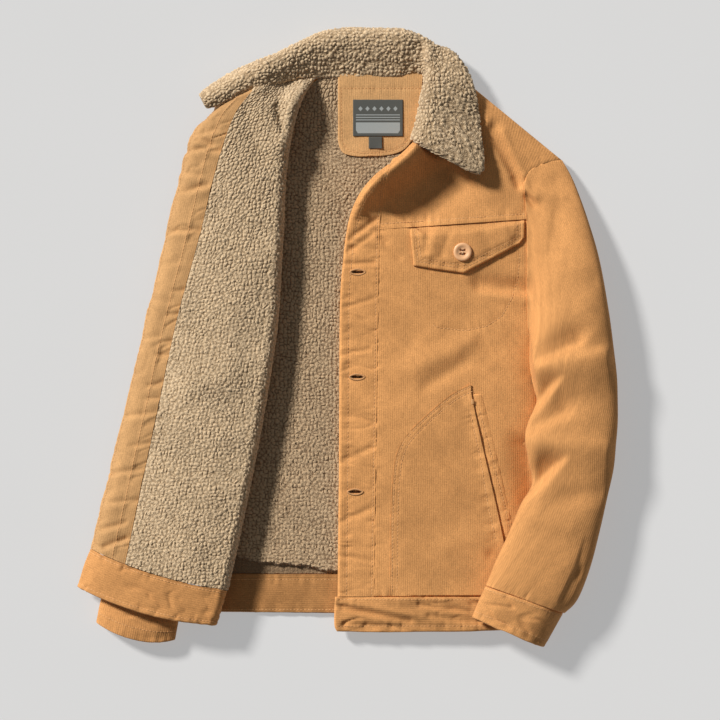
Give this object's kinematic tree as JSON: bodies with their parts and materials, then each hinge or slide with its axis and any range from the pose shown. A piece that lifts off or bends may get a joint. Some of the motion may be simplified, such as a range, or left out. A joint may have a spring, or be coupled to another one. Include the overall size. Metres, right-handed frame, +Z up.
{
  "type": "winter jacket",
  "caption": "Corduroy winter jacket with a sherpa fleece lining and collar, laid open on a flat surface with one front folded back.",
  "frame": {"origin": "middle of the bounding box, on the surface the jacket lies on", "axes": "+X to the wearer's left, +Y towards the collar, +Z up, away from the surface"},
  "size_m": [0.6474, 0.7449, 0.0553],
  "materials": {
    "corduroy": "fine-wale camel corduroy with a soft nap",
    "fleece": "curly beige sherpa fleece",
    "label_cloth": "woven dark grey label",
    "button_plastic": "semi-gloss tan resin"
  },
  "bodies": {
    "root": {"back_panel": "corduroy", "back_hem_band": "corduroy", "neck_facing": "corduroy", "left_yoke": "corduroy", "left_front": "corduroy", "left_placket": "corduroy", "left_hem_band": "corduroy", "chest_flap": "corduroy", "hand_pocket": "corduroy", "pocket_welt": "corduroy", "left_sleeve_top": "corduroy", "left_sleeve_under": "corduroy", "left_cuff": "corduroy", "right_front": "corduroy", "right_facing": "corduroy", "right_hem_band": "corduroy", "right_sleeve_top": "corduroy", "right_sleeve_under": "corduroy", "right_cuff": "corduroy", "back_lining": "fleece", "right_lining": "fleece", "collar": "fleece", "neck_label": "label_cloth", "size_tab": "label_cloth", "flap_button": "button_plastic", "front_button_1": "button_plastic", "front_button_2": "button_plastic", "front_button_3": "button_plastic"}
  },
  "joints": []
}
